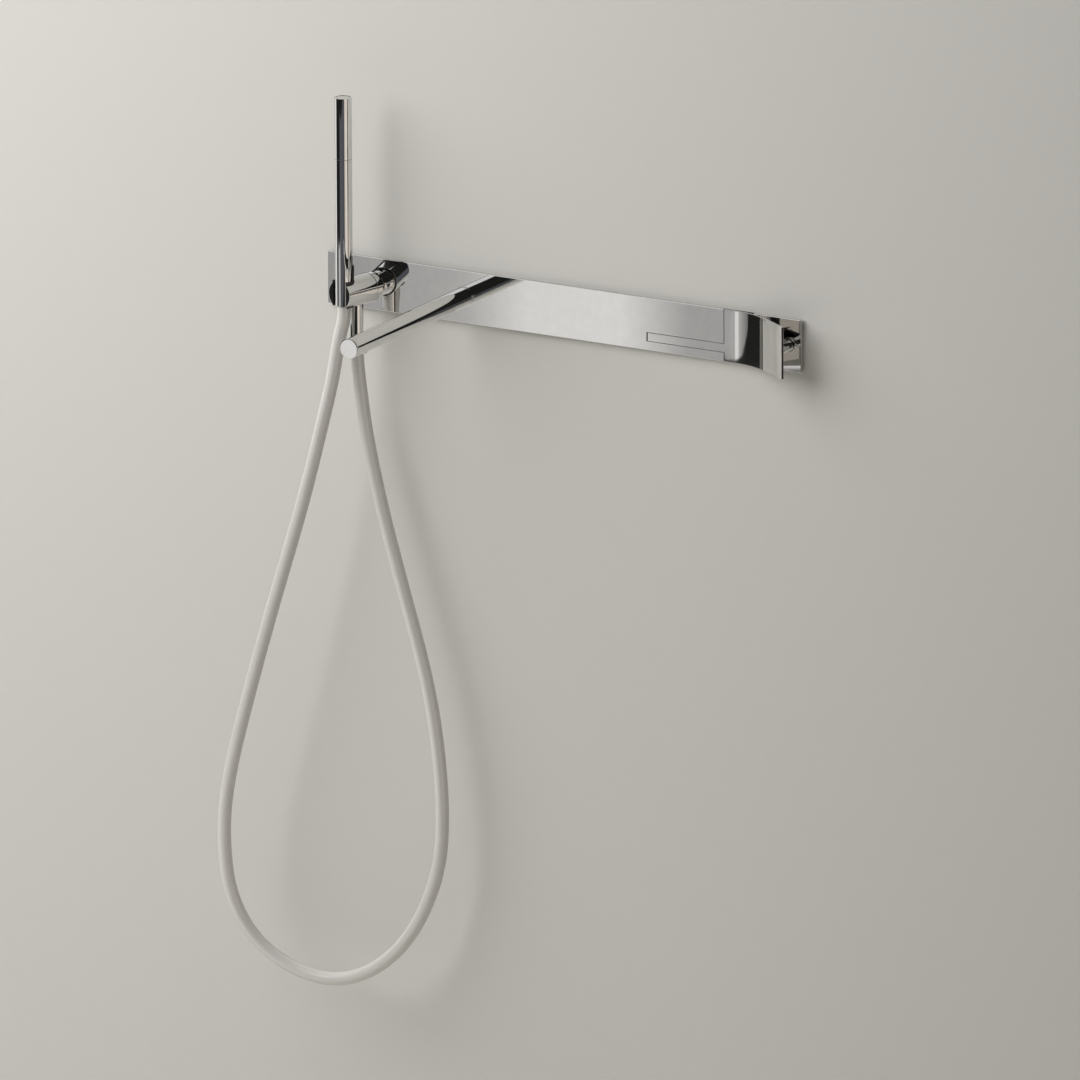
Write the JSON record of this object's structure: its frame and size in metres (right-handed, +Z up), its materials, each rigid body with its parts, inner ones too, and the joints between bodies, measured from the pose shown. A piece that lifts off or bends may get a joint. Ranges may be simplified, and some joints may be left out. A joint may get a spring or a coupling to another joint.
{
  "type": "wall mounted bath faucet",
  "caption": "Wall mounted bath faucet: long mirror faceplate, bent pull lever, round spout and a stick hand shower on a hanging hose.",
  "frame": {"origin": "centre of the gasket's back face, on the finished wall", "axes": "+X to the right along the faceplate, +Y into the wall, +Z up"},
  "size_m": [0.6237, 0.2976, 0.91],
  "materials": {
    "chrome": "polished",
    "brass": "machined",
    "steel": "satin",
    "rubber": "matt",
    "ceramic": "lapped ceramic",
    "white_plastic": "moulded",
    "grey_plastic": "moulded",
    "hose_skin": "smooth silver"
  },
  "bodies": {
    "root": {"aerator_housing": "chrome", "aerator_insert": "white_plastic", "ball_stub": "chrome", "branch_pipe": "steel", "cartridge_housing": "grey_plastic", "cartridge_nut": "brass", "check_valve": "white_plastic", "cold_inlet": "brass", "faceplate": "chrome", "hot_inlet": "brass", "mounting_rail": "steel", "plate_gasket": "rubber", "plate_stud_left": "steel", "plate_stud_right": "steel", "rail_screw_left": "steel", "rail_screw_right": "steel", "shower_elbow": "brass", "spindle_escutcheon": "chrome", "spout_base_ring": "chrome", "spout_end_bush": "white_plastic", "spout_nipple": "brass", "spout_seal": "rubber", "spout_tee": "brass", "spout_tube": "chrome", "stub_nut": "brass", "stud_nut_left": "steel", "stud_nut_right": "steel", "supply_pipe": "steel", "valve_body": "brass", "valve_seat": "ceramic"},
    "lever_body": {"lever": "chrome", "lever_hub": "chrome", "lever_grub_screw": "steel", "valve_spindle": "steel", "valve_plunger": "ceramic"},
    "diverter_body": {"diverter_knob": "chrome", "diverter_rod": "steel", "diverter_piston": "rubber", "diverter_spring": "steel"},
    "holder": {"holder_body": "chrome", "socket_ring": "chrome", "ball_seat": "white_plastic", "holder_liner": "grey_plastic", "outlet_pipe": "chrome", "outlet_washer": "rubber", "hose_nut": "chrome", "shower_hose": "hose_skin"},
    "hand_shower": {"handle_tube": "chrome", "spray_tube": "chrome", "nozzle_strip": "rubber", "top_cap": "chrome", "handle_connector": "brass", "swivel_nut": "brass", "swivel_washer": "rubber", "flow_limiter": "white_plastic"}
  },
  "joints": [
    {"name": "lever_pull", "type": "slide", "parent": "root", "child": "lever_body", "axis": [0, -1, 0], "range_m": [0, 0.008]},
    {"name": "diverter_pull", "type": "slide", "parent": "root", "child": "diverter_body", "axis": [0, -1, 0], "range_m": [0, 0.01], "stiffness_N_per_m": 200, "deforming": ["diverter_spring"]},
    {"name": "holder_swivel", "type": "hinge", "parent": "root", "child": "holder", "pos_m": [-0.213, -0.016, 0], "axis": [0, 0, 1], "range_deg": [-8, 15]},
    {"name": "hand_shower_lift", "type": "slide", "parent": "holder", "child": "hand_shower", "axis": [-0.2588, -0.9659, 0], "range_m": [0, 0.03]}
  ]
}
